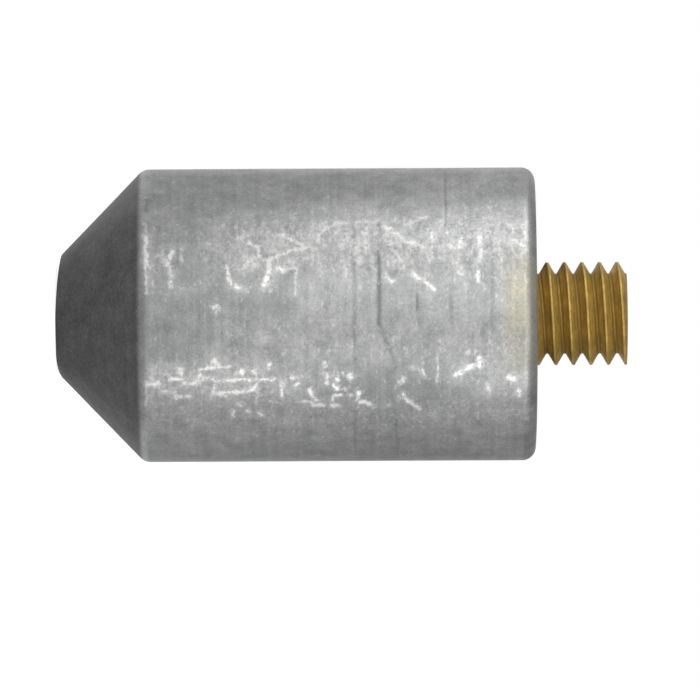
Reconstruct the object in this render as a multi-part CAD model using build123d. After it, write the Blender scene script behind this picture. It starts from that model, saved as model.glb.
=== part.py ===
"""A pencil-type sacrificial anode: a zinc body with a conical nose, cast round a brass stud.

Millimetres. +Z runs along the anode from its nose to its stud, and the origin is the centre of
the rear face, which is the flat face that seats against the plug or casing the stud screws into.
The anode stands on the flat land at the tip of its nose.
"""

from build123d import *
import os
from math import ceil, radians, tan

INCH = 25.4

# ---- zinc body ----
BODY_DIAMETER = 26.6
BODY_LENGTH = 43.4              # from the tip of the nose to the rear face
NOSE_HALF_ANGLE = 46.0          # degrees between the axis and the cone
TIP_DIAMETER = 10.2             # the land at the tip, out to where it would meet the cone unrounded
TIP_ROUNDING = 0.9
SHOULDER_ROUNDING = 1.2         # where the cone meets the cylinder
REAR_CHAMFER = 0.75             # the rear edge is broken at 45 degrees,
REAR_ROUNDING = 1.1             # then both edges of the chamfer are rounded into one soft edge

# ---- brass stud, outside the zinc: a coarse right-hand thread, 3/8 inch by 16 to the inch ----
STUD_LENGTH = 8.3               # from the rear face to the sawn end
THREAD_DIAMETER = 9.35          # over the crests, as cut: a little under the nominal 3/8 inch
THREADS_PER_INCH = 16
THREAD_ANGLE = 60.0             # degrees between the two flanks of a groove
CREST_FLAT_PER_PITCH = 0.12
ROOT_FLAT_PER_PITCH = 0.12
FIRST_CREST = 0.3               # height of the first crest above the rear face, on the +X side

# ---- brass stud, inside the zinc: a neck and a head for the cast metal to grip ----
NECK_LENGTH = 4.0
NECK_UNDERCUT = 0.1             # from the roots of the thread in to the neck
HEAD_LENGTH = 6.0
HEAD_DIAMETER = 8.9
HEAD_ACROSS_FLATS = 7.8         # two flats stop the stud turning in the zinc

# ---- the mark round the stud, where the mould's end plug held it ----
RECESS_DEPTH = 0.1
RECESS_CLEARANCE = 0.3          # from the thread's crests out to the edge of the mark

body_radius = BODY_DIAMETER / 2
tip_radius = TIP_DIAMETER / 2
tip_z = -BODY_LENGTH
shoulder_z = tip_z + (body_radius - tip_radius) / tan(radians(NOSE_HALF_ANGLE))

thread_radius = THREAD_DIAMETER / 2
pitch = INCH / THREADS_PER_INCH
crest_flat = CREST_FLAT_PER_PITCH * pitch
root_flat = ROOT_FLAT_PER_PITCH * pitch
flank_slope = tan(radians(THREAD_ANGLE / 2))
thread_depth = (pitch - crest_flat - root_flat) / (2 * flank_slope)
root_radius = thread_radius - thread_depth
thread_bottom_z = -RECESS_DEPTH

neck_radius = root_radius - NECK_UNDERCUT
recess_radius = thread_radius + RECESS_CLEARANCE

UPWARD = (Align.CENTER, Align.CENTER, Align.MIN)
DOWNWARD = (Align.CENTER, Align.CENTER, Align.MAX)


def groove_turn(root_z):
    """One turn of the thread's groove, whose root leaves the +X side at height root_z.

    The groove opens a quarter of a crest's flat beyond the crests, so that it cuts right
    through them and still stays clear of the turns on either side of it.
    """
    overcut = crest_flat / 4
    half_root = root_flat / 2
    half_mouth = half_root + (thread_depth + overcut) * flank_slope
    mouth_radius = root_radius + thread_depth + overcut
    outline = Polyline(
        (mouth_radius, root_z - half_mouth),
        (root_radius, root_z - half_root),
        (root_radius, root_z + half_root),
        (mouth_radius, root_z + half_mouth),
        close=True,
    )
    path = Helix(pitch=pitch, height=pitch, radius=thread_radius, center=(0, 0, root_z))
    return sweep(Plane.XZ * make_face(outline), path=path, is_frenet=True)


def make_thread():
    """The threaded length: a bar with the groove cut along it, turn by turn, past both ends.

    Each turn can free a thin chip of the bar's skin, and only the bar itself is kept.
    """
    thread = Pos(0, 0, thread_bottom_z) * Cylinder(
        thread_radius, STUD_LENGTH - thread_bottom_z, align=UPWARD
    )
    first_root_z = FIRST_CREST - 1.5 * pitch
    turns = ceil((STUD_LENGTH + pitch - first_root_z) / pitch)
    for turn in range(turns):
        pieces = (thread - groove_turn(first_root_z + turn * pitch)).solids()
        thread = pieces.sort_by(SortBy.VOLUME)[-1]
    return thread


def make_tail():
    """The buried tail: a neck right under the thread, then a head with two flats on it."""
    neck = Pos(0, 0, thread_bottom_z) * Cylinder(neck_radius, NECK_LENGTH, align=DOWNWARD)
    head = Cylinder(HEAD_DIAMETER / 2, HEAD_LENGTH, align=DOWNWARD)
    head &= Box(HEAD_DIAMETER, HEAD_ACROSS_FLATS, HEAD_LENGTH, align=DOWNWARD)
    return neck + Pos(0, 0, thread_bottom_z - NECK_LENGTH) * head


def corner(outline, x, y):
    """The outline's corner at this point."""
    return outline.vertices().sort_by_distance((x, y))[0]


def make_body(stud):
    """The zinc: one turned form with the mark round the stud, cast round the stud's tail."""
    outline = make_face(
        Polyline(
            (0, 0),
            (0, tip_z),
            (tip_radius, tip_z),
            (body_radius, shoulder_z),
            (body_radius, 0),
            close=True,
        )
    )
    outline = fillet(corner(outline, tip_radius, tip_z), TIP_ROUNDING)
    outline = fillet(corner(outline, body_radius, shoulder_z), SHOULDER_ROUNDING)
    outline = chamfer(corner(outline, body_radius, 0), REAR_CHAMFER)
    outline = fillet(
        [
            corner(outline, body_radius, -REAR_CHAMFER),
            corner(outline, body_radius - REAR_CHAMFER, 0),
        ],
        REAR_ROUNDING,
    )
    body = revolve(Plane.XZ * outline, axis=Axis.Z)
    body -= Cylinder(recess_radius, RECESS_DEPTH, align=DOWNWARD)
    return body - stud


brass_stud = make_thread() + make_tail()
zinc_body = make_body(brass_stud)

os.makedirs("parts", exist_ok=True)
export_step(zinc_body, "parts/zinc_body.step")
export_step(brass_stud, "parts/brass_stud.step")
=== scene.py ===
"""Sacrificial anode: a cast zinc body on a threaded brass stud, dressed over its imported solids.

Sizes are named in millimetres and turned to metres as each piece is finished. +Z runs from the
nose to the stud, the origin is the centre of the rear face, and the anode stands on its nose.
"""

from math import ceil, cos, pi, radians, sin, tan

import bmesh
import bpy
import numpy as np
from mathutils import Matrix, Vector, noise


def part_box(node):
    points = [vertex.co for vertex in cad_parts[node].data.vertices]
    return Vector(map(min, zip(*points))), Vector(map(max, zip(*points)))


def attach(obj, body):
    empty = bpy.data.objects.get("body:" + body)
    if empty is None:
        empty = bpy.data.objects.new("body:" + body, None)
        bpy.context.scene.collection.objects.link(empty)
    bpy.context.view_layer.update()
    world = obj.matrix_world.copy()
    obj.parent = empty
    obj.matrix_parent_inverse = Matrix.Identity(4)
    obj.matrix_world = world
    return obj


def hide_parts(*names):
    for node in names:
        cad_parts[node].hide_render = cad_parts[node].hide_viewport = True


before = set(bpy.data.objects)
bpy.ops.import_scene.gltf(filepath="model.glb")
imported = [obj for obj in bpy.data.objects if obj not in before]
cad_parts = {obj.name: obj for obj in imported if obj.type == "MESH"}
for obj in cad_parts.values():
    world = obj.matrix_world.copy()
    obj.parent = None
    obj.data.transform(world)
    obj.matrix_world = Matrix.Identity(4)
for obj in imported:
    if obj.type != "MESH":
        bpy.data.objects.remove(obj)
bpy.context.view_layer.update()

MM = 0.001
ALONG = Vector((0, 0, 1))

body_low, body_high = (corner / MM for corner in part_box("zinc_body"))
stud_low, stud_high = (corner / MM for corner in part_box("brass_stud"))

# ---- zinc body, in millimetres: outside form ----
BODY_RADIUS = body_high.x
TIP_Z = body_low.z
TIP_RADIUS = 5.1
TIP_ROUNDING = 0.9
NOSE_HALF_ANGLE = 46.0
SHOULDER_ROUNDING = 1.2
REAR_ROUNDING = 1.2
SHOULDER_Z = TIP_Z + (BODY_RADIUS - TIP_RADIUS) / tan(radians(NOSE_HALF_ANGLE))

# ---- zinc body: the mark round the stud and the cavity that its tail fills ----
CAST_GAP = 0.01                 # keeps the zinc's inner wall and the brass from sharing a surface
RECESS_RADIUS = 4.975
RECESS_Z = -0.1
NECK_RADIUS = 3.53
NECK_END_Z = -4.1
HEAD_RADIUS = 4.45
HEAD_HALF_FLATS = 3.9
HEAD_END_Z = stud_low.z

# ---- brass stud: 3/8 inch, 16 threads to the inch, right-handed ----
STUD_END_Z = stud_high.z
THREAD_RADIUS = 4.675
PITCH = 25.4 / 16
CREST_FLAT = 0.12 * PITCH
ROOT_FLAT = 0.12 * PITCH
THREAD_DEPTH = (PITCH - CREST_FLAT - ROOT_FLAT) / (2 * tan(radians(30)))
FIRST_CREST_Z = 0.3
CREST_ROUNDING = 0.08
ROOT_ROUNDING = 0.15

# ---- how finely the pieces are cut ----
FRONT_ARC = 150                 # degrees of the zinc, centred on -Y, that carry the fine marks
FRONT_STEPS = 210
BACK_STEPS = 72
CYLINDER_ROW = 0.155
CONE_ROW = 0.32
FACE_ROW = 0.4
THREAD_STEPS = 96               # to one turn
ZINC_CREASE = 60                # degrees: an edge that turns by more than this is shaded sharp
BRASS_CREASE = 38


# ---------------------------------------------------------------- meshes

def new_piece(name, bm, material):
    """Turns a bmesh in millimetres into a smooth piece in metres, with its faces outwards."""
    bmesh.ops.remove_doubles(bm, verts=bm.verts, dist=0.0005)
    bmesh.ops.recalc_face_normals(bm, faces=bm.faces)
    bmesh.ops.scale(bm, vec=(MM, MM, MM), verts=bm.verts)
    mesh = bpy.data.meshes.new(name)
    bm.to_mesh(mesh)
    bm.free()
    mesh.shade_smooth()
    mesh.materials.append(material)
    piece = bpy.data.objects.new(name, mesh)
    bpy.context.collection.objects.link(piece)
    return piece


def wire(bm, corners):
    """A chain of edges through these (radius, height) corners, in the XZ plane."""
    verts = [bm.verts.new((radius, 0, height)) for radius, height in corners]
    for start, end in zip(verts, verts[1:]):
        bm.edges.new((start, end))
    return verts


def round_corner(bm, vert, radius, segments):
    """Rounds a corner of a wire with an arc of this radius."""
    before, after = (edge.other_vert(vert).co - vert.co for edge in vert.link_edges)
    turn = pi - before.angle(after)
    bmesh.ops.bevel(
        bm, geom=[vert], offset=radius * tan(turn / 2), offset_type="OFFSET",
        affect="VERTICES", segments=segments, profile=0.5, material=-1,
    )


def split_rows(bm, wanted):
    """Cuts the wire's edges into rows; wanted(middle) gives the row height there, or None."""
    for edge in list(bm.edges):
        row = wanted((edge.verts[0].co + edge.verts[1].co) / 2)
        if row:
            cuts = ceil(edge.calc_length() / row) - 1
            if cuts > 0:
                bmesh.ops.subdivide_edges(bm, edges=[edge], cuts=cuts)


def smoothstep(low, high, value):
    share = np.clip((value - low) / (high - low), 0, 1)
    return share * share * (3 - 2 * share)


def noise_at(points, size, seed):
    """Smooth noise from -1 to 1 with lumps about this size, at points in millimetres."""
    shift = Vector((seed * 17.3, seed * 5.1, seed * 9.7))
    return np.array([noise.noise(Vector(point) / size + shift) for point in points])


def points_of(mesh):
    """The mesh's points in millimetres and its vertex normals."""
    place = np.empty(len(mesh.vertices) * 3)
    outward = np.empty(len(mesh.vertices) * 3)
    mesh.vertices.foreach_get("co", place)
    mesh.vertex_normals.foreach_get("vector", outward)
    return place.reshape(-1, 3) / MM, outward.reshape(-1, 3)


def keep(mesh, name, values):
    """Keeps one value a vertex as an attribute for the material."""
    mesh.attributes.new(name, "FLOAT", "POINT").data.foreach_set("value", values)


# ---------------------------------------------------------------- marks on the zinc
# Each mark is (half-width, strength, path), and a path's points are (height, distance round the
# skin from the -Y side, towards +X), in millimetres. A strength over 1 keeps a rubbed mark bright
# where the flecks would break it up. The places follow from none of the sizes above: they were
# read off. Other scripts then worked out the millimetres of about two thirds of the points in
# RUBBED and SCORED_AND_SHADED, and rescaled many half-widths and strengths in RUBBED.

RUBBED = (
    (0.16, 1.25, ((-35.0, -7.3), (-35.0, -4.3))),
    (0.14, 0.5, ((-35.1, -9.0), (-35.0, -2.0))),
    (0.14, 0.5, ((-35.0, 6.1), (-35.1, 8.6))),
    (0.17, 1.1, ((-32.7, -5.9), (-33.1, -4.6))),
    (0.18, 0.5, ((-32.8, -4.4), (-32.8, -2.6))),
    (0.16, 0.5, ((-31.8, -6.0), (-31.8, -4.8))),
    (0.16, 0.4, ((-33.5, -6.0), (-33.5, -4.9))),
    (0.14, 0.8, ((-27.8, -4.4), (-27.6, -3.2), (-27.3, -2.6), (-26.5, -2.4))),
    (0.22, 0.5, ((-26.9, -7.2), (-25.9, -7.4))),
    (0.17, 1.0, ((-25.9, -6.8), (-25.2, -6.4), (-24.9, -5.8), (-24.8, -5.3))),
    (0.35, 0.55, ((-26.0, -5.3), (-25.3, -4.4))),
    (0.35, 0.5, ((-26.1, -4.4), (-25.4, -5.2))),
    (0.15, 1.1, ((-23.0, -7.6), (-21.6, -6.8), (-20.7, -6.4))),
    (0.15, 1.25, ((-20.7, -6.2), (-22.3, -5.8), (-24.1, -4.9))),
    (0.22, 1.25, ((-24.1, -4.9), (-24.0, -3.8), (-24.3, -2.8))),
    (0.16, 0.6, ((-24.1, -4.3), (-21.4, -4.2))),
    (0.21, 1.25, ((-23.1, -4.2), (-22.8, -4.1))),
    (0.14, 0.4, ((-21.6, -4.2), (-21.6, -1.8))),
    (0.16, 0.5, ((-19.7, -6.8), (-19.4, -7.7), (-18.8, -8.3), (-17.7, -8.8), (-16.8, -8.8))),
    (0.14, 0.9, ((-28.85, -0.65), (-28.7, -0.8))),
    (0.2, 0.5, ((-17.2, -4.3), (-17.2, -3.4))),
    (0.13, 1.1, ((-29.0, 4.1), (-28.6, 4.5))),
    (0.12, 1.1, ((-30.3, 5.0), (-29.0, 4.8), (-27.5, 4.8))),
    (0.2, 0.9, ((-31.9, 5.0), (-31.9, 5.6))),
    (0.15, 1.1, ((-30.4, 5.8), (-30.2, 5.5))),
    (0.2, 0.9, ((-34.3, 6.5), (-34.0, 6.2))),
    (0.17, 1.1, ((-32.8, 5.9), (-31.9, 6.0))),
    (0.2, 0.7, ((-35.0, 6.5), (-33.9, 6.4))),
    (0.16, 0.8, ((-31.7, 6.3), (-30.3, 6.3), (-29.9, 5.8), (-29.0, 5.9))),
    (0.13, 1.0, ((-28.5, 6.1), (-23.6, 6.0))),
    (0.14, 0.8, ((-28.9, 5.8), (-28.9, 7.3))),
    (0.17, 1.1, ((-28.5, 7.5), (-28.0, 7.7))),
    (0.14, 1.1, ((-29.0, 7.4), (-25.5, 7.1), (-25.3, 6.5))),
    (0.11, 0.4, ((-25.2, 5.1), (-25.2, 8.7))),
    (0.17, 1.25, ((-26.5, 5.2), (-26.3, 5.4))),
    (0.14, 0.9, ((-25.5, 5.2), (-25.2, 5.4))),
    (0.18, 0.6, ((-33.5, 7.1), (-32.5, 7.2), (-32.4, 7.8), (-31.2, 7.7))),
    (0.17, 1.1, ((-26.7, 8.6), (-26.6, 8.8))),
    (0.16, 1.0, ((-26.0, 9.3), (-25.8, 9.4))),
    (0.17, 1.25, ((-25.0, 9.6), (-24.7, 9.9))),
    (0.13, 0.9, ((-27.3, 9.3), (-27.3, 10.2))),
    (0.15, 1.1, ((-24.0, 4.4), (-24.0, 4.8))),
    (0.14, 0.9, ((-22.9, 6.6), (-22.9, 7.8))),
    (0.15, 1.1, ((-22.8, 6.4), (-22.6, 6.5))),
    (0.14, 0.9, ((-21.7, 6.6), (-21.4, 6.4))),
    (0.14, 0.8, ((-22.0, 5.8), (-21.8, 5.9))),
    (0.14, 0.6, ((-23.9, 8.2), (-23.0, 8.6))),
    (0.15, 1.1, ((-20.5, 7.1), (-19.8, 8.2))),
    (0.15, 1.1, ((-20.9, 8.2), (-20.4, 8.4), (-20.1, 8.7), (-19.1, 8.8))),
    (0.12, 0.6, ((-19.0, 4.4), (-19.0, 4.8))),
    (0.11, 0.6, ((-19.2, 5.3), (-19.1, 5.4))),
    (0.16, 0.8, ((-18.9, 5.5), (-18.8, 5.7))),
    (0.14, 0.8, ((-18.9, 6.2), (-18.7, 6.3))),
    (0.17, 1.0, ((-18.1, 6.0), (-17.9, 6.1))),
    (0.18, 1.25, ((-18.2, 6.6), (-18.0, 7.0))),
    (0.14, 0.9, ((-17.4, 6.9), (-17.2, 7.0))),
    (0.16, 1.1, ((-18.2, 7.7), (-17.6, 7.6))),
    (0.2, 0.5, ((-17.0, 7.7), (-16.6, 7.6))),
    (0.13, 0.8, ((-18.4, 7.9), (-18.4, 8.3))),
    (0.18, 1.0, ((-18.4, 8.7), (-17.9, 8.8))),
    (0.16, 1.1, ((-16.9, 5.6), (-16.7, 5.8))),
    (0.15, 1.0, ((-16.0, 7.4), (-16.2, 8.2))),
    (0.15, 1.25, ((-15.9, 8.4), (-15.3, 8.5), (-14.9, 8.8))),
    (0.13, 0.8, ((-12.4, 7.8), (-12.3, 8.0))),
    (0.15, 0.9, ((-12.0, 7.6), (-11.6, 8.4), (-11.0, 8.8), (-10.6, 9.2))),
    (0.16, 0.7, ((-12.1, 5.9), (-12.0, 6.3))),
    (0.15, 0.4, ((-12.4, 6.4), (-12.3, 6.6))),
    (0.14, 0.6, ((-10.3, 5.2), (-10.1, 5.8))),
    (0.2, 0.35, ((-11.5, 4.9), (-10.9, 5.0))),
    (0.2, 0.6, ((-13.7, -8.4), (-12.4, -7.4))),
    (0.17, 0.75, ((-13.1, -8.3), (-12.1, -7.0), (-10.1, -6.3))),
    (0.16, 0.5, ((-13.4, -6.9), (-12.7, -5.7), (-12.0, -4.7))),
    (0.16, 0.45, ((-13.1, -4.7), (-12.3, -5.1))),
    (0.14, 0.75, ((-11.2, -3.5), (-10.1, -2.8), (-9.2, -2.2))),
    (0.16, 0.5, ((-10.6, -9.4), (-9.9, -9.4))),
    (0.14, 0.7, ((-9.4, -7.8), (-9.4, -5.0))),
    (0.2, 0.4, ((-16.2, -8.9), (-14.6, -8.9))),
    (0.25, 0.6, ((-15.3, -8.4), (-15.3, -5.7))),
    (0.3, 0.5, ((-16.1, -6.9), (-15.9, -4.8))),
    (0.2, 0.6, ((-13.6, -3.5), (-12.9, -2.9))),
    (0.2, 0.5, ((-12.0, -4.2), (-11.3, -4.7))),
    (0.21, 0.9, ((-6.8, -7.1), (-6.8, -6.3))),
    (0.18, 0.6, ((-7.8, -6.3), (-6.9, -6.1))),
    (0.21, 1.0, ((-5.1, -7.1), (-5.1, -5.0))),
    (0.18, 0.8, ((-5.3, -3.7), (-5.3, -3.0))),
    (0.14, 0.5, ((-8.1, -7.8), (-8.0, -7.6))),
    (0.3, 0.35, ((-7.2, -4.7), (-6.8, -3.8))),
    (0.21, 0.8, ((-7.3, 5.6), (-6.7, 5.4))),
    (0.23, 0.8, ((-6.5, 5.1), (-5.7, 4.8))),
    (0.21, 0.9, ((-5.2, 4.0), (-5.2, 4.7))),
    (0.25, 0.4, ((-6.3, 3.5), (-5.6, 3.5))),
    (0.2, 1.0, ((-2.6, 5.9), (-2.1, 6.0))),
    (0.16, 0.6, ((-4.5, 6.7), (-4.3, 7.3))),
    (0.18, 0.6, ((-1.7, 7.2), (-1.7, 7.8))),
    (0.11, 0.5, ((-9.0, 3.6), (-9.0, 6.3))),
    (0.3, 0.5, ((-1.9, -6.8), (-1.2, -6.2))),
    (0.2, 0.5, ((-1.6, -5.3), (-1.3, -5.8))),
)
# scoring: real dark lines, and at the end wide patches of painted shade
SCORED_AND_SHADED = (
    (0.22, 0.85, ((-14.2, -8.6), (-14.2, 0.9))),
    (0.17, 0.5, ((-14.1, 0.9), (-13.5, 2.7), (-12.6, 4.9))),
    (0.17, 0.4, ((-16.4, -8.5), (-16.4, 19.2))),
    (0.1, 0.55, ((-8.1, -18.4), (-8.2, -8.2))),
    (0.1, 0.5, ((-7.8, -1.5), (-7.8, 0.9))),
    (0.18, 0.45, ((-4.1, -8.2), (-4.1, 1.5))),
    (0.12, 0.8, ((-10.8, -1.6), (-10.8, -0.3))),
    (0.1, 0.5, ((-10.6, 0.5), (-10.6, 1.4))),
    (0.35, 0.35, ((-28.6, -3.1), (-30.3, 0.3))),
    (0.15, 0.7, ((-33.7, -1.6), (-33.7, -0.9))),
    (0.18, 0.7, ((-35.0, -11.9), (-35.0, -10.4))),
    (0.12, 0.4, ((-12.7, 10.7), (-12.5, 17.4))),
    (0.1, 0.3, ((-32.2, -7.1), (-32.2, -4.9))),
    # from here on wide and faint: patches of painted shade rather than lines
    (2.2, 0.42, ((-17.5, 6.9), (-9.5, 6.9))),
    (2.2, 0.28, ((-34.5, -1.2), (-23.5, -1.2))),
    (2.5, 0.22, ((-34.5, -12.0), (-22.0, -12.0))),
    (3.0, 0.35, ((-34.5, -16.5), (-29.0, -16.5))),
    (3.0, 0.22, ((-29.0, -16.0), (-18.0, -15.0))),
    (2.4, 0.3, ((-34.5, 17.0), (-8.0, 17.0))),
)
# galling: real flecks, while the long, wide patches also lighten the skin as painted light
GALLED_AND_LIT = (
    (3.6, 1.0, ((-19.0, -6.9), (-3.5, -6.6))),
    (3.0, 0.95, ((-27.5, -6.4), (-18.0, -6.9))),
    (1.6, 1.0, ((-26.0, -5.2), (-3.5, -5.2))),
    (1.5, 0.4, ((-34.8, -6.5), (-34.0, -4.5), (-32.6, -4.8))),
    (1.8, 0.7, ((-34.0, 6.0), (-26.0, 6.8), (-21.0, 7.2))),
    (1.8, 0.5, ((-7.0, 5.0), (-2.0, 6.2))),
    (2.3, 0.55, ((-34.0, 9.9), (-2.0, 9.9))),
    (2.2, 0.5, ((-27.0, 2.4), (-3.0, 2.4))),
    (3.0, 0.35, ((-8.5, -14.5), (-2.0, -14.5))),
)


def cover(marks, height, round_skin, margin=0.0):
    """How strongly the marks, widened by a margin, cover each point of the skin, from 0 to 1."""
    covered = np.zeros(len(height))
    for half_width, strength, path in marks:
        for (start_z, start_u), (end_z, end_u) in zip(path, path[1:]):
            run_z = end_z - start_z
            run_u = end_u - start_u
            reach = (height - start_z) * run_z + (round_skin - start_u) * run_u
            share = np.clip(reach / (run_z ** 2 + run_u ** 2), 0, 1)
            away = np.hypot(
                height - start_z - share * run_z, round_skin - start_u - share * run_u
            )
            reached = np.exp(-(away / (half_width + margin)) ** 2)
            covered = np.maximum(covered, strength * reached)
    return covered


# ---------------------------------------------------------------- materials

def linear(hex_colour):
    """A colour written as sRGB hex, turned to linear, with full alpha."""
    parts = [int(hex_colour[i:i + 2], 16) / 255 for i in (1, 3, 5)]
    return [c / 12.92 if c <= 0.04045 else ((c + 0.055) / 1.055) ** 2.4 for c in parts] + [1.0]


def add(tree, kind, inputs=None, **settings):
    """Adds a shader node. An input is a value, or another node's output to link."""
    node = tree.nodes.new("ShaderNode" + kind)
    for name, value in settings.items():
        setattr(node, name, value)
    for key, value in (inputs or {}).items():
        if isinstance(value, bpy.types.NodeSocket):
            tree.links.new(value, node.inputs[key])
        else:
            node.inputs[key].default_value = value
    return node


def new_material(name):
    material = bpy.data.materials.new(name)
    material.use_nodes = True
    return material, material.node_tree, material.node_tree.nodes["Principled BSDF"]


def cast_zinc():
    """Zinc as cast in an iron mould, then handled: satin grey with a grain of dull crystals and
    flecks of galling that have been rubbed bright. The nose is darker and duller, partly its own
    cast skin and partly painted shade. Wide patches of galling also lighten the skin as painted
    light, wide patches of scoring darken it as painted shade, and near the stud a warm painted
    reflection of the brass lies on the front of the skin."""
    material, tree, surface = new_material("cast_zinc")
    place = add(tree, "TexCoord").outputs["Object"]

    mottle_size = 1.7 * MM
    grain_size = 0.22 * MM          # drawn coarser than the real crystals, so that it shows
    fleck_size = 0.34 * MM
    gall_size = 0.5 * MM
    patch_size = 5.0 * MM
    ring_size = 0.5 * MM

    mottle = add(tree, "TexNoise", {"Vector": place, "Scale": 1 / mottle_size, "Detail": 4.0,
                                    "Roughness": 0.6}).outputs["Fac"]
    grain = add(tree, "TexNoise", {"Vector": place, "Scale": 1 / grain_size, "Detail": 2.0,
                                   "Roughness": 0.6}).outputs["Fac"]
    round_axis = add(tree, "Mapping", {"Vector": place, "Scale": (0.03, 0.03, 1.0)})
    rings = add(tree, "TexNoise", {"Vector": round_axis.outputs["Vector"],
                                   "Scale": 1 / ring_size, "Detail": 3.0}).outputs["Fac"]
    fleck = add(tree, "TexNoise", {"Vector": place, "Scale": 1 / fleck_size, "Detail": 4.0,
                                   "Roughness": 0.65}).outputs["Fac"]
    drawn = add(tree, "Mapping", {"Vector": place, "Scale": (0.6, 0.6, 1.0)})
    gall = add(tree, "TexNoise", {"Vector": drawn.outputs["Vector"], "Scale": 1 / gall_size,
                                  "Detail": 5.0, "Roughness": 0.75}).outputs["Fac"]
    patch = add(tree, "TexNoise", {"Vector": place, "Scale": 1 / patch_size,
                                   "Detail": 1.0}).outputs["Fac"]
    rubbed = add(tree, "Attribute", attribute_name="rubbed").outputs["Fac"]
    scored_and_shaded = add(tree, "Attribute", attribute_name="scored_and_shaded").outputs["Fac"]
    galled_and_lit = add(tree, "Attribute", attribute_name="galled_and_lit").outputs["Fac"]
    brass_bounce = add(tree, "Attribute", attribute_name="brass_bounce").outputs["Fac"]

    # galled flecks: thick in the galled patches, a few in the clouds of the patch noise
    few = add(tree, "MapRange", {"Value": patch, "From Min": 0.45, "From Max": 0.7,
                                 "To Min": 0.0, "To Max": 0.25}).outputs["Result"]
    share = add(tree, "Math", {0: galled_and_lit, 1: few}, operation="MAXIMUM").outputs[0]
    lifted = add(tree, "Math", {0: share, 1: 0.13, 2: gall}, operation="MULTIPLY_ADD")
    specks = add(tree, "MapRange", {"Value": lifted.outputs[0], "From Min": 0.6,
                                    "From Max": 0.82, "To Max": 0.66}).outputs["Result"]
    pits = add(tree, "MapRange", {"Value": gall, "From Min": 0.3, "From Max": 0.42,
                                  "To Min": 0.86, "To Max": 1.0}).outputs["Result"]
    # the rubbed marks, broken up by the flecks
    broken = add(tree, "MapRange", {"Value": fleck, "From Min": 0.38, "From Max": 0.58,
                                    "To Min": 0.28, "To Max": 1.3}).outputs["Result"]
    bright = add(tree, "Math", {0: rubbed, 1: broken, 2: specks}, operation="MULTIPLY_ADD",
                 use_clamp=True).outputs[0]

    # the nose's darker skin, partly painted shade, begins at the shoulder
    height = add(tree, "SeparateXYZ", {"Vector": place}).outputs["Z"]
    on_nose = add(tree, "MapRange", {
        "Value": height,
        "From Min": (SHOULDER_Z + 0.1) * MM,
        "From Max": (SHOULDER_Z - 0.5) * MM,
    }, interpolation_type="SMOOTHSTEP").outputs["Result"]

    tone = add(tree, "MapRange", {"Value": mottle, "From Min": 0.3, "From Max": 0.7})
    body = add(tree, "Mix", {0: tone.outputs["Result"], 6: linear("#8F9090"),
                             7: linear("#A9AAA9")}, data_type="RGBA").outputs[2]
    grain_tone = add(tree, "MapRange", {"Value": grain, "From Min": 0.3, "From Max": 0.7,
                                        "To Min": 0.88, "To Max": 1.12}).outputs["Result"]
    ring_tone = add(tree, "MapRange", {"Value": rings, "From Min": 0.3, "From Max": 0.7,
                                       "To Min": 0.92, "To Max": 1.08}).outputs["Result"]
    texture = add(tree, "Math", {0: grain_tone, 1: ring_tone}, operation="MULTIPLY").outputs[0]
    haze_and_light = add(tree, "MapRange", {"Value": fleck, "From Min": 0.35, "From Max": 0.65,
                                  "To Min": 0.12, "To Max": 0.55}).outputs["Result"]
    # lightens the skin where it is galled: real galling, and painted light along the wide patches
    haze_and_light = add(tree, "Math", {0: galled_and_lit, 1: haze_and_light, 2: 1.0}, operation="MULTIPLY_ADD")
    haze_and_light = add(tree, "Math", {0: haze_and_light.outputs[0], 1: pits}, operation="MULTIPLY")
    texture = add(tree, "Math", {0: texture, 1: haze_and_light.outputs[0]}, operation="MULTIPLY").outputs[0]
    # painted reflection: the warm, lighter bounce from the brass near the stud
    brass_bounce_tint = add(tree, "Mix", {0: brass_bounce, 6: body, 7: linear("#B0AC9B")},
                data_type="RGBA").outputs[2]
    # scoring darkens the skin: real lines, and painted shade in the wide patches
    score_and_shade = add(tree, "Mix", {0: scored_and_shaded, 6: brass_bounce_tint, 7: linear("#6B6C6D")},
                data_type="RGBA").outputs[2]
    textured = add(tree, "VectorMath", {0: score_and_shade, "Scale": texture}, operation="SCALE")
    flecked = add(tree, "Mix", {0: bright, 6: textured.outputs["Vector"],
                                7: linear("#EEEEEC")}, data_type="RGBA").outputs[2]
    # the nose's colour: its cast skin, darkened further as painted shade
    nose = add(tree, "Mix", {0: tone.outputs["Result"], 6: linear("#535353"),
                             7: linear("#676767")}, data_type="RGBA").outputs[2]
    coarse = add(tree, "Math", {0: texture, 1: grain_tone}, operation="MULTIPLY").outputs[0]
    nose = add(tree, "VectorMath", {0: nose, "Scale": coarse}, operation="SCALE")
    colour = add(tree, "Mix", {0: on_nose, 6: flecked, 7: nose.outputs["Vector"]},
                 data_type="RGBA").outputs[2]

    rough = add(tree, "MapRange", {"Value": bright, "To Min": 0.46, "To Max": 0.36})
    rough = add(tree, "Mix", {0: on_nose, 2: rough.outputs["Result"], 3: 0.62}).outputs[0]
    metallic = add(tree, "Mix", {0: on_nose, 2: 0.75, 3: 0.25}).outputs[0]

    relief = add(tree, "Math", {0: grain, 1: 0.5}, operation="MULTIPLY").outputs[0]
    relief = add(tree, "Math", {0: relief, 1: mottle}, operation="ADD").outputs[0]
    bump = add(tree, "Bump", {"Height": relief, "Distance": 0.03 * MM, "Strength": 0.8})

    tree.links.new(colour, surface.inputs["Base Color"])
    tree.links.new(rough, surface.inputs["Roughness"])
    tree.links.new(bump.outputs["Normal"], surface.inputs["Normal"])
    tree.links.new(metallic, surface.inputs["Metallic"])
    return material


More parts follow.
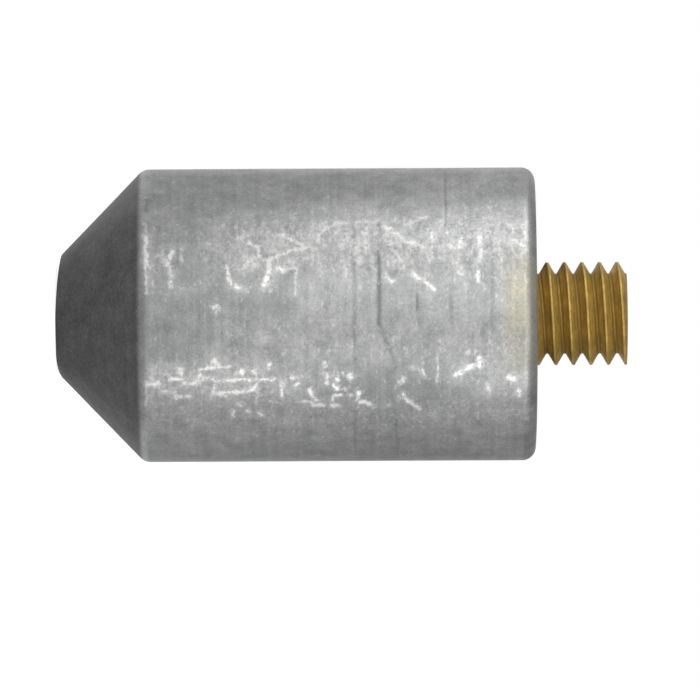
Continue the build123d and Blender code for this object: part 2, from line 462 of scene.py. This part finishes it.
def stud_brass():
    """Free-cutting brass, thread cut with a die: yellow metal dulled and browned with age in soft
    clouds, with fine lines along the thread. The roots are darker, partly dirt and partly painted
    shade, and the flanks that face the zinc carry painted shade up towards their crests."""
    material, tree, surface = new_material("stud_brass")
    place = add(tree, "TexCoord").outputs["Object"]

    tarnish_size = 1.2 * MM
    line_size = 0.12 * MM

    cloud = add(tree, "TexNoise", {"Vector": place, "Scale": 1 / tarnish_size, "Detail": 5.0,
                                   "Roughness": 0.65}).outputs["Fac"]
    round_axis = add(tree, "Mapping", {"Vector": place, "Scale": (0.05, 0.05, 1.0)})
    lines = add(tree, "TexNoise", {"Vector": round_axis.outputs["Vector"],
                                   "Scale": 1 / line_size, "Detail": 2.0}).outputs["Fac"]
    flat = add(tree, "VectorMath", {0: place, 1: (1.0, 1.0, 0.0)}, operation="MULTIPLY")
    radius = add(tree, "VectorMath", {0: flat.outputs["Vector"]},
                 operation="LENGTH").outputs["Value"]
    root_radius = THREAD_RADIUS - THREAD_DEPTH
    root_dirt_and_shade = add(tree, "MapRange", {"Value": radius, "From Min": (root_radius + 0.3) * MM,
                                     "From Max": (root_radius + 0.02) * MM}).outputs["Result"]
    browned = add(tree, "MapRange", {"Value": cloud, "From Min": 0.35, "From Max": 0.65})
    colour = add(tree, "Mix", {0: browned.outputs["Result"], 6: linear("#D0AC59"),
                               7: linear("#AB8E4D")}, data_type="RGBA").outputs[2]
    # darker in the roots: partly dirt, partly painted shade
    colour = add(tree, "Mix", {0: root_dirt_and_shade, 6: colour, 7: linear("#8F763B")},
                 data_type="RGBA").outputs[2]
    # painted shade: the flanks that face the zinc darken up towards their crests
    flank_shade = add(tree, "Attribute", attribute_name="flank_shade").outputs["Fac"]
    flank_shade = add(tree, "Math", {0: flank_shade, 1: 0.6}, operation="MULTIPLY").outputs[0]
    colour = add(tree, "Mix", {0: flank_shade, 6: colour, 7: linear("#75602F")},
                 data_type="RGBA").outputs[2]
    line_tone = add(tree, "MapRange", {"Value": lines, "From Min": 0.3, "From Max": 0.7,
                                       "To Min": 0.8, "To Max": 1.15}).outputs["Result"]
    colour = add(tree, "VectorMath", {0: colour, "Scale": line_tone}, operation="SCALE")
    rough = add(tree, "MapRange", {"Value": cloud, "From Min": 0.3, "From Max": 0.7,
                                   "To Min": 0.42, "To Max": 0.68}).outputs["Result"]
    bump = add(tree, "Bump", {"Height": lines, "Distance": 0.01 * MM, "Strength": 0.6})

    tree.links.new(colour.outputs["Vector"], surface.inputs["Base Color"])
    tree.links.new(rough, surface.inputs["Roughness"])
    tree.links.new(bump.outputs["Normal"], surface.inputs["Normal"])
    surface.inputs["Metallic"].default_value = 0.6
    return material


# ---------------------------------------------------------------- zinc body

def zinc_row(middle):
    """How tall the rows of the zinc are at this point of its profile."""
    if middle.x < RECESS_RADIUS and middle.z > HEAD_END_Z - 1:
        return None
    if middle.z > -REAR_ROUNDING or middle.z < TIP_Z + 0.01:
        return FACE_ROW
    return CONE_ROW if middle.z < SHOULDER_Z - SHOULDER_ROUNDING else CYLINDER_ROW


def zinc_skin(bm):
    """Spins the zinc's profile, with finer steps on the side that carries the marks."""
    corners = wire(bm, (
        (0, TIP_Z),
        (TIP_RADIUS, TIP_Z),
        (BODY_RADIUS, SHOULDER_Z),
        (BODY_RADIUS, 0),
        (RECESS_RADIUS, 0),
        (RECESS_RADIUS, RECESS_Z),
        (NECK_RADIUS + CAST_GAP, RECESS_Z),
        (NECK_RADIUS + CAST_GAP, NECK_END_Z + CAST_GAP),
        (HEAD_RADIUS + CAST_GAP, NECK_END_Z + CAST_GAP),
        (HEAD_RADIUS + CAST_GAP, HEAD_END_Z - CAST_GAP),
        (0, HEAD_END_Z - CAST_GAP),
    ))
    tip, shoulder, rear = corners[1:4]
    round_corner(bm, tip, TIP_ROUNDING, 5)
    round_corner(bm, shoulder, SHOULDER_ROUNDING, 7)
    round_corner(bm, rear, REAR_ROUNDING, 10)
    split_rows(bm, zinc_row)

    start = Matrix.Rotation(radians(-90 - FRONT_ARC / 2), 3, "Z")
    bmesh.ops.rotate(bm, verts=bm.verts, cent=(0, 0, 0), matrix=start)
    front = bmesh.ops.spin(
        bm, geom=bm.verts[:] + bm.edges[:], cent=(0, 0, 0), axis=ALONG,
        angle=radians(FRONT_ARC), steps=FRONT_STEPS, use_merge=False,
    )
    bmesh.ops.spin(
        bm, geom=front["geom_last"], cent=(0, 0, 0), axis=ALONG,
        angle=radians(360 - FRONT_ARC), steps=BACK_STEPS, use_merge=False,
    )


TIP_HIGH_SPOT = 1.8             # the point that the tip stands on, towards +X from the axis
TIP_DOME = 0.0083               # how the tip falls away from there towards -X, per mm squared
TIP_WORN = 0.0023               # and towards +X, where the edge is worn round, per mm to the 4th
TIP_REACH = 4.0                 # this far towards +X from that point, it falls away no further
TIP_BAND = 3.0                  # only skin this near the tip is worn
SWELL = 0.03                    # scales how far in the uneven skin dips
RUB_DEPTH = 0.012
GALL_MARGIN = 0.75              # how far the skin round a rubbed mark is galled,
GALL_SHARE = 0.7                # and how strongly
SCORE_DEPTH = 0.02
RUB_WANDER = 0.13               # how far the marks stray from their paths
SCORE_WANDER = 0.08
GALL_WANDER = 0.5
BRASS_BOUNCE_MIDDLE = -0.3             # of the painted reflection of the brass by the stud, round the skin
BRASS_BOUNCE_HALF_WIDTH = 5.2
BRASS_BOUNCE_FROM_Z = -3.8             # it starts here
BRASS_BOUNCE_FULL_Z = -1.6             # and is at its full strength from here up


def weather_zinc(piece):
    """Moves the skin inwards where it is uneven, worn, rubbed or scratched, and keeps the marks,
    with the patches of painted light, painted shade and painted brass reflection, as attributes
    for the material."""
    mesh = piece.data
    place, outward = points_of(mesh)
    x, y, z = place.T
    radius = np.hypot(x, y)
    round_skin = BODY_RADIUS * np.arctan2(x, -y)

    # all but the mark round the stud and the cavity under it
    outside = (radius > RECESS_RADIUS + 0.3) | (z < HEAD_END_Z - 1)
    on_side = smoothstep(SHOULDER_Z - 0.5, SHOULDER_Z + 0.3, z) * (radius > BODY_RADIUS - 1)
    drift = noise_at(place, 0.8, 3) + 0.6 * noise_at(place, 0.3, 5)
    waver = noise_at(place, 0.8, 4) + 0.6 * noise_at(place, 0.3, 6)
    rubbed = cover(RUBBED, z + RUB_WANDER * drift, round_skin + RUB_WANDER * waver) * on_side
    scored_and_shaded = cover(SCORED_AND_SHADED, z + SCORE_WANDER * drift, round_skin) * on_side
    galled_and_lit = np.maximum(
        cover(GALLED_AND_LIT, z + GALL_WANDER * drift, round_skin + GALL_WANDER * waver),
        cover(RUBBED, z, round_skin, GALL_MARGIN) * GALL_SHARE,
    ) * on_side
    cloud = noise_at(place, 2.5, 2)
    swell = SWELL * (0.7 + 0.5 * noise_at(place, 9.0, 1) + 0.2 * cloud)
    inward = (swell + RUB_DEPTH * rubbed + SCORE_DEPTH * scored_and_shaded) * outside
    place -= outward * inward[:, None]

    off_spot = np.minimum(place[:, 0] - TIP_HIGH_SPOT, TIP_REACH)
    fall = np.where(off_spot < 0, TIP_DOME * off_spot ** 2, TIP_WORN * off_spot ** 4)
    worn_to = np.where(z < TIP_Z + TIP_BAND, TIP_Z + fall, -np.inf)
    place[:, 2] = np.maximum(place[:, 2], worn_to)
    mesh.vertices.foreach_set("co", (place * MM).ravel())

    # the painted reflection of the brass: warm and lighter on the front of the skin near the stud
    near_stud = smoothstep(BRASS_BOUNCE_FROM_Z, BRASS_BOUNCE_FULL_Z, z) * on_side
    facing = np.exp(-((round_skin - BRASS_BOUNCE_MIDDLE) / BRASS_BOUNCE_HALF_WIDTH) ** 4)
    keep(mesh, "rubbed", rubbed)
    keep(mesh, "scored_and_shaded", scored_and_shaded)
    keep(mesh, "galled_and_lit", galled_and_lit)
    keep(mesh, "brass_bounce", near_stud * facing * (0.75 + 0.5 * cloud + 0.3 * drift))
    mesh.update()


def zinc_body(material):
    bm = bmesh.new()
    zinc_skin(bm)
    piece = new_piece("anode_zinc", bm, material)
    weather_zinc(piece)
    piece.data.set_sharp_from_angle(angle=radians(ZINC_CREASE))
    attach(piece, "root")
    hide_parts("zinc_body")


# ---------------------------------------------------------------- brass stud

SAME_HEIGHT = 1e-4


def grow(bm, edges, place):
    """Extrudes an open ring of edges and puts each new vertex where place(old place) says."""
    made = bmesh.ops.extrude_edge_only(bm, edges=edges)["geom"]
    for vert in made:
        if isinstance(vert, bmesh.types.BMVert):
            vert.co = place(vert.co)
    return [edge for edge in made if isinstance(edge, bmesh.types.BMEdge)]


def open_ring(bm, height):
    """The open edges that lie at this height."""
    return [
        edge for edge in bm.edges
        if edge.is_boundary and all(abs(vert.co.z - height) < SAME_HEIGHT for vert in edge.verts)
    ]


def at_radius(co, radius, height):
    flat = Vector((co.x, co.y, 0)).normalized() * radius
    return Vector((flat.x, flat.y, height))


def thread(bm):
    """One pitch of the thread's outline, from root to root, swept up a right-hand helix."""
    root_z = FIRST_CREST_Z - 1.5 * PITCH
    root_radius = THREAD_RADIUS - THREAD_DEPTH
    crest_z = root_z + PITCH / 2
    corners = wire(bm, (
        (root_radius, root_z),
        (root_radius, root_z + ROOT_FLAT / 2),
        (THREAD_RADIUS, crest_z - CREST_FLAT / 2),
        (THREAD_RADIUS, crest_z + CREST_FLAT / 2),
        (root_radius, root_z + PITCH - ROOT_FLAT / 2),
        (root_radius, root_z + PITCH),
    ))
    for corner in (corners[1], corners[4]):
        round_corner(bm, corner, ROOT_ROUNDING, 4)
    for corner in (corners[2], corners[3]):
        round_corner(bm, corner, CREST_ROUNDING, 3)
    turns = ceil((STUD_END_Z - root_z) / PITCH) + 1
    bmesh.ops.spin(
        bm, geom=bm.verts[:] + bm.edges[:], cent=(0, 0, 0), axis=ALONG,
        dvec=ALONG * PITCH / THREAD_STEPS, angle=2 * pi * turns,
        steps=turns * THREAD_STEPS, use_merge=False,
    )
    bmesh.ops.remove_doubles(bm, verts=bm.verts, dist=0.001)
    for height, side in ((RECESS_Z, {"clear_inner": True}), (STUD_END_Z, {"clear_outer": True})):
        bmesh.ops.bisect_plane(
            bm, geom=bm.verts[:] + bm.edges[:] + bm.faces[:], dist=1e-5,
            plane_co=(0, 0, height), plane_no=ALONG, **side,
        )


def close_sawn_end(bm):
    """The sawn end of the stud, in rings to its centre."""
    ring = open_ring(bm, STUD_END_Z)
    for share in (0.97, 0.8, 0.55, 0.3, 0.0):
        widest = THREAD_RADIUS * share
        ring = grow(bm, ring, lambda co: at_radius(
            co, min(widest, co.xy.length * 0.98), STUD_END_Z
        ))


def add_tail(bm):
    """The neck under the thread and the flatted head, down to the buried end."""
    ring = open_ring(bm, RECESS_Z)
    for radius, height in (
        (NECK_RADIUS, RECESS_Z),
        (NECK_RADIUS, NECK_END_Z),
        (HEAD_RADIUS, NECK_END_Z),
        (HEAD_RADIUS, HEAD_END_Z),
        (0.0, HEAD_END_Z),
    ):
        ring = grow(bm, ring, lambda co: at_radius(co, radius, height))
    for vert in bm.verts:
        if vert.co.z < NECK_END_Z + SAME_HEIGHT and vert.co.xy.length > NECK_RADIUS + 0.01:
            vert.co.y = max(-HEAD_HALF_FLATS, min(HEAD_HALF_FLATS, vert.co.y))


def paint_flank_shade(piece):
    """Keeps, for the material's painted shade, how far up a flank that faces the zinc each point
    is.
    """
    place, outward = points_of(piece.data)
    up = (np.hypot(place[:, 0], place[:, 1]) - THREAD_RADIUS) / THREAD_DEPTH + 1
    keep(piece.data, "flank_shade", np.clip(up, 0, 1) * smoothstep(0.3, 0.8, -outward[:, 2]))


def brass_stud(material):
    bm = bmesh.new()
    thread(bm)
    close_sawn_end(bm)
    add_tail(bm)
    piece = new_piece("anode_stud", bm, material)
    paint_flank_shade(piece)
    piece.data.set_sharp_from_angle(angle=radians(BRASS_CREASE))
    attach(piece, "root")
    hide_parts("brass_stud")


# ---------------------------------------------------------------- floor, light and camera

def pale_floor():
    """A matt pale floor under the nose, lifted to the white of the background. Shiny skins see
    it bright only behind the anode, where the backdrop hangs."""
    seen_glow = 0.85
    mirrored_glow = 0.7
    glow_starts_y = -8 * MM
    glow_full_y = 0.0

    material, tree, surface = new_material("floor_white")
    surface.inputs["Base Color"].default_value = linear("#DDDDDD")
    surface.inputs["Roughness"].default_value = 0.9
    rays = add(tree, "LightPath")
    seen = add(tree, "Math", {0: rays.outputs["Is Camera Ray"],
                              1: rays.outputs["Is Transmission Ray"]}, operation="MAXIMUM")
    place = add(tree, "TexCoord").outputs["Object"]
    depth = add(tree, "SeparateXYZ", {"Vector": place}).outputs["Y"]
    behind = add(tree, "MapRange", {"Value": depth, "From Min": glow_starts_y,
                                    "From Max": glow_full_y,
                                    "To Max": mirrored_glow}).outputs["Result"]
    mirrored = add(tree, "Math", {0: rays.outputs["Is Glossy Ray"], 1: behind},
                   operation="MULTIPLY")
    strength = add(tree, "Math", {0: seen.outputs[0], 1: seen_glow, 2: mirrored.outputs[0]},
                   operation="MULTIPLY_ADD")
    glow = add(tree, "Emission", {"Color": (1, 1, 1, 1), "Strength": strength.outputs[0]})
    both = add(tree, "AddShader", {0: surface.outputs[0], 1: glow.outputs[0]})
    tree.links.new(both.outputs[0], tree.nodes["Material Output"].inputs["Surface"])

    bm = bmesh.new()
    bmesh.ops.create_circle(bm, cap_ends=True, segments=64, radius=700,
                            matrix=Matrix.Translation((0, 0, TIP_Z)))
    floor = new_piece("floor", bm, material)


def soft_light(name, place, width, height, power):
    """A softbox at this place, in millimetres, turned to the centre of the rear face."""
    lamp = bpy.data.lights.new(name, "AREA")
    lamp.shape = "RECTANGLE"
    lamp.size = width * MM
    lamp.size_y = height * MM
    lamp.energy = power
    holder = bpy.data.objects.new(name, lamp)
    holder.location = Vector(place) * MM
    holder.rotation_euler = holder.location.to_track_quat("Z", "Y").to_euler()
    bpy.context.collection.objects.link(holder)


def studio():
    """A white background, a bright backdrop behind the anode for its skin to mirror, grey
    surroundings and four softboxes."""
    world = bpy.data.worlds.new("studio")
    bpy.context.scene.world = world
    world.use_nodes = True
    tree = world.node_tree
    tree.nodes.clear()
    rays = add(tree, "LightPath")
    direction = add(tree, "TexCoord").outputs["Generated"]
    depth = add(tree, "VectorMath", {0: direction, 1: (-0.2, 0.98, 0.0)},
                operation="DOT_PRODUCT").outputs["Value"]
    behind = add(tree, "MapRange", {"Value": depth, "From Min": 0.82, "From Max": 0.97})
    mirrored = add(tree, "Math", {0: rays.outputs["Is Glossy Ray"],
                                  1: behind.outputs["Result"]}, operation="MULTIPLY")
    through = add(tree, "Math", {0: rays.outputs["Is Camera Ray"],
                                 1: rays.outputs["Is Transmission Ray"]}, operation="MAXIMUM")
    seen = add(tree, "Math", {0: mirrored.outputs[0], 1: through.outputs[0]},
               operation="MAXIMUM")
    surround = add(tree, "Background", {"Color": linear("#FFFFFF"), "Strength": 0.31})
    white = add(tree, "Background", {"Color": linear("#FFFFFF"), "Strength": 1.0})
    mix = add(tree, "MixShader", {0: seen.outputs[0], 1: surround.outputs[0],
                                  2: white.outputs[0]})
    add(tree, "OutputWorld", {"Surface": mix.outputs[0]})

    soft_light("key", (-130, -46, 34), 100, 50, 0.078)
    soft_light("front", (-63, -236, 35), 150, 90, 0.175)
    soft_light("fill", (176, -170, 35), 180, 90, 0.16)
    soft_light("right", (34, -194, 137), 90, 90, 0.055)


CAMERA_DISTANCE = 794.0         # from the axis of the anode
CAMERA_LENS = 450.0
CAMERA_ASIDE = 3.2              # of the view's middle from the axis, towards +X
CAMERA_HEIGHT = -16.8
CAMERA_ROLL = 0.3               # degrees: the stud's end stands a little high in the view


def camera():
    """Looks along +Y with the stud to the right of the view and -X at its top."""
    data = bpy.data.cameras.new("camera")
    data.lens = CAMERA_LENS
    data.sensor_width = 36.0
    data.clip_start = 0.01
    data.clip_end = 10.0
    holder = bpy.data.objects.new("camera", data)
    roll = radians(CAMERA_ROLL)
    right = Vector((sin(roll), 0, cos(roll)))
    up = Vector((-cos(roll), 0, sin(roll)))
    back = right.cross(up)
    turned = Matrix((right, up, back)).transposed().to_4x4()
    stand = Vector((CAMERA_ASIDE, -CAMERA_DISTANCE, CAMERA_HEIGHT)) * MM
    holder.matrix_world = Matrix.Translation(stand) @ turned
    bpy.context.collection.objects.link(holder)
    bpy.context.scene.camera = holder


zinc_body(cast_zinc())
brass_stud(stud_brass())
pale_floor()
studio()
camera()
bpy.context.scene.view_settings.view_transform = "Standard"
